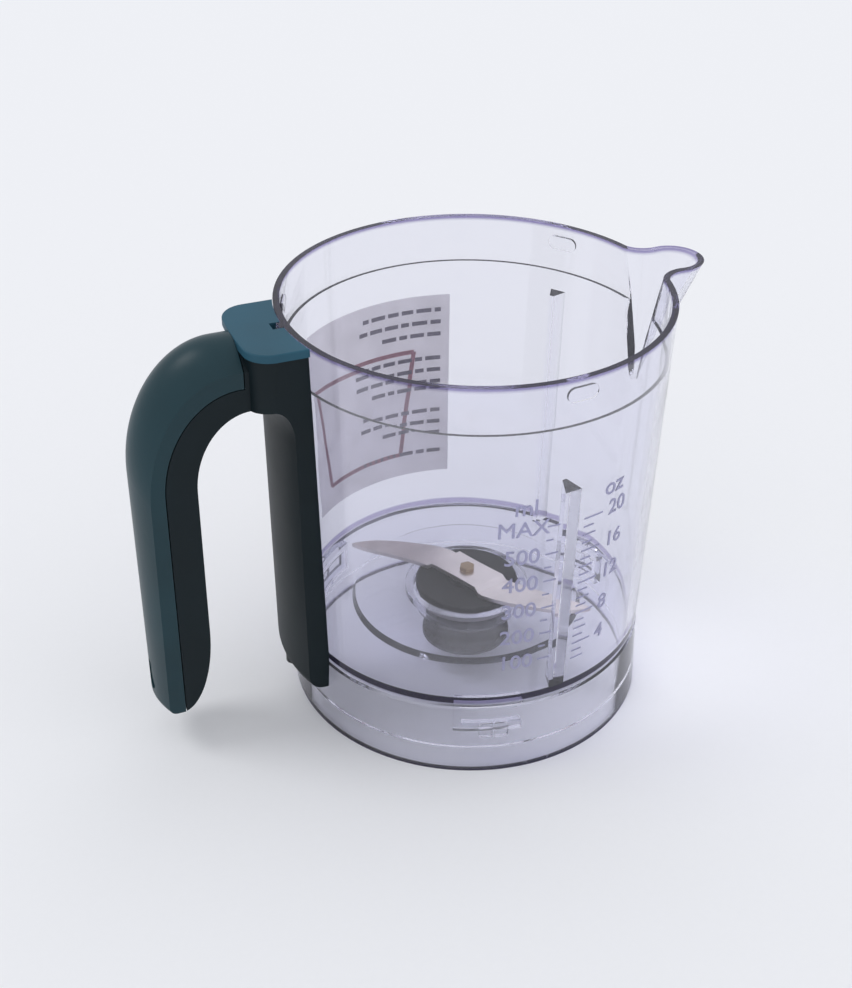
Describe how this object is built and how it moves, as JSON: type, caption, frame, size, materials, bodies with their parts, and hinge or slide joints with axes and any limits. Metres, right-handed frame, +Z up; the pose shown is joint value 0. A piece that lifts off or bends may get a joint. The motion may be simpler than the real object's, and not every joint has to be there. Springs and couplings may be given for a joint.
{
  "type": "blender jug",
  "caption": "Clear blending jug of a baby food maker: graduated vessel with pouring spout, wedge-shaped mixing ribs, dark two-piece handle with lid interlock rod, and a removable swept-blade unit.",
  "frame": {"origin": "on the jug's axis, in the plane of the ring it stands on, which is the mouth of the socket for the motor base", "axes": "+Z up along the jug's axis, +X towards the pouring spout, handle on the -X side"},
  "size_m": [0.1883, 0.122, 0.1397],
  "materials": {
    "clear_copolyester": "clear, faint lilac tint",
    "label_film": "translucent printed film",
    "green_abs": "satin moulded",
    "zinc_steel": "zinc plated",
    "dark_acetal": "moulded",
    "spring_steel": "drawn wire",
    "charcoal_nylon": "moulded, fine grain",
    "white_ptfe": "smooth",
    "silicone": "matte",
    "sintered_bronze": "sintered, oil filled",
    "stainless_steel": "satin ground"
  },
  "bodies": {
    "jug": {"jug_body": "clear_copolyester", "jug_label": "label_film", "handle_body": "green_abs", "handle_cover": "green_abs", "handle_top_plate": "green_abs", "screw_plug": "green_abs", "cover_screw": "zinc_steel", "rod_guide": "dark_acetal", "bearing_housing": "charcoal_nylon", "retaining_nut": "charcoal_nylon", "nut_washer": "silicone", "housing_gasket": "silicone", "shaft_seal": "silicone", "upper_bush": "sintered_bronze", "lower_bush": "sintered_bronze"},
    "blade_rotor": {"drive_shaft": "stainless_steel", "blade": "stainless_steel", "blade_bolt": "stainless_steel", "blade_spacer": "charcoal_nylon", "hub_disc": "charcoal_nylon", "thrust_washer": "white_ptfe", "shaft_clip": "spring_steel", "drive_coupling": "charcoal_nylon", "coupling_insert": "sintered_bronze"},
    "interlock": {"interlock_rod": "dark_acetal", "rod_spring": "spring_steel"}
  },
  "joints": [
    {"name": "blade_spin", "type": "hinge", "parent": "jug", "child": "blade_rotor", "pos_m": [0, 0, 0.03], "axis": [0, 0, 1], "continuous": true},
    {"name": "interlock_press", "type": "slide", "parent": "jug", "child": "interlock", "axis": [0, 0, -1], "range_m": [0, 0.005], "stiffness_N_per_m": 300, "springref_m": -0.003, "deforming": ["rod_spring"]}
  ]
}
